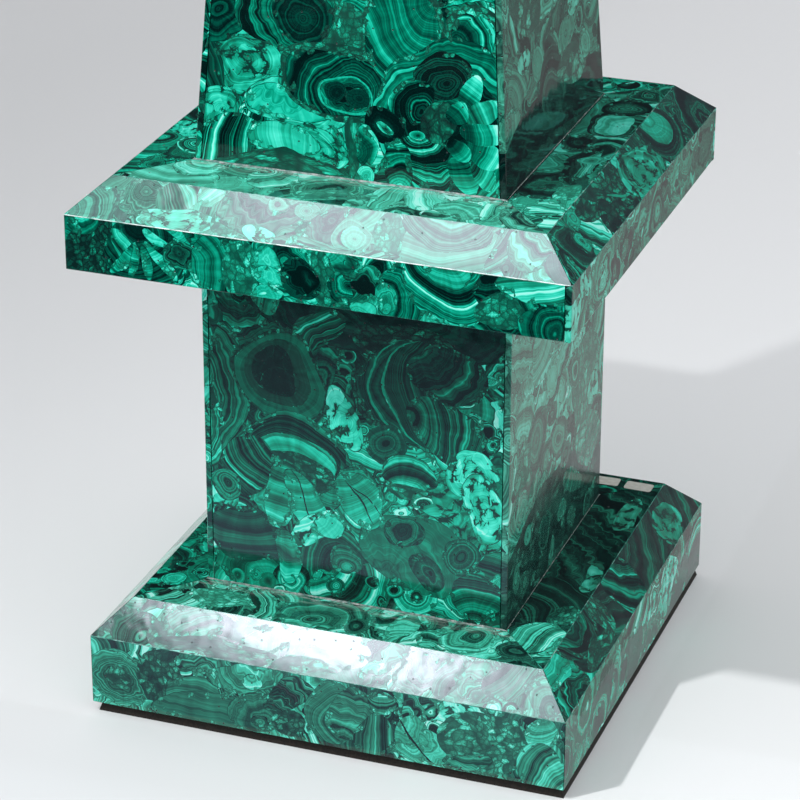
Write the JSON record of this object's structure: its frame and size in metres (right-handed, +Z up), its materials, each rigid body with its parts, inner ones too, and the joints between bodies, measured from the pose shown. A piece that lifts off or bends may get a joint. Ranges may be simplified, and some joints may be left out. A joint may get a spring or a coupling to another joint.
{
  "type": "malachite obelisk",
  "caption": "Table obelisk of polished malachite facings: tapered square shaft with a pointed tip on bevelled slabs and a square pedestal.",
  "frame": {"origin": "under the middle of the object's whole plan, on the surface that it stands on", "axes": "+Z up along the shaft, -Y towards the front, where the base's front band faces"},
  "size_m": [0.253, 0.2538, 0.8627],
  "materials": {
    "malachite": "polished",
    "block": "matte",
    "pad": "matte",
    "filler": "matte",
    "paper": "matte"
  },
  "bodies": {
    "root": {"base_pad": "pad", "base_core": "block", "base_edge_front": "malachite", "base_edge_right": "malachite", "base_edge_back": "malachite", "base_edge_left": "malachite", "base_bevel_front": "malachite", "base_bevel_right": "malachite", "base_bevel_back": "malachite", "base_bevel_left": "malachite", "base_ledge_front": "malachite", "base_ledge_right": "malachite", "base_ledge_back": "malachite", "base_ledge_left": "malachite", "pedestal_core": "block", "pedestal_panel_front": "malachite", "pedestal_panel_right": "malachite", "pedestal_panel_back": "malachite", "pedestal_panel_left": "malachite", "pedestal_bead": "filler", "slab_core": "block", "slab_edge_front": "malachite", "slab_edge_right": "malachite", "slab_edge_back": "malachite", "slab_edge_left": "malachite", "slab_bevel_front": "malachite", "slab_bevel_right": "malachite", "slab_bevel_back": "malachite", "slab_bevel_left": "malachite", "slab_ledge_front": "malachite", "slab_ledge_right": "malachite", "slab_ledge_back": "malachite", "slab_ledge_left": "malachite", "slab_soffit_front": "malachite", "slab_soffit_right": "malachite", "slab_soffit_back": "malachite", "slab_soffit_left": "malachite", "shaft_core": "block", "shaft_panel_front": "malachite", "shaft_panel_right": "malachite", "shaft_panel_back": "malachite", "shaft_panel_left": "malachite", "shaft_bead": "filler", "pyramidion": "malachite", "label_left": "paper", "label_right": "paper"}
  },
  "joints": []
}
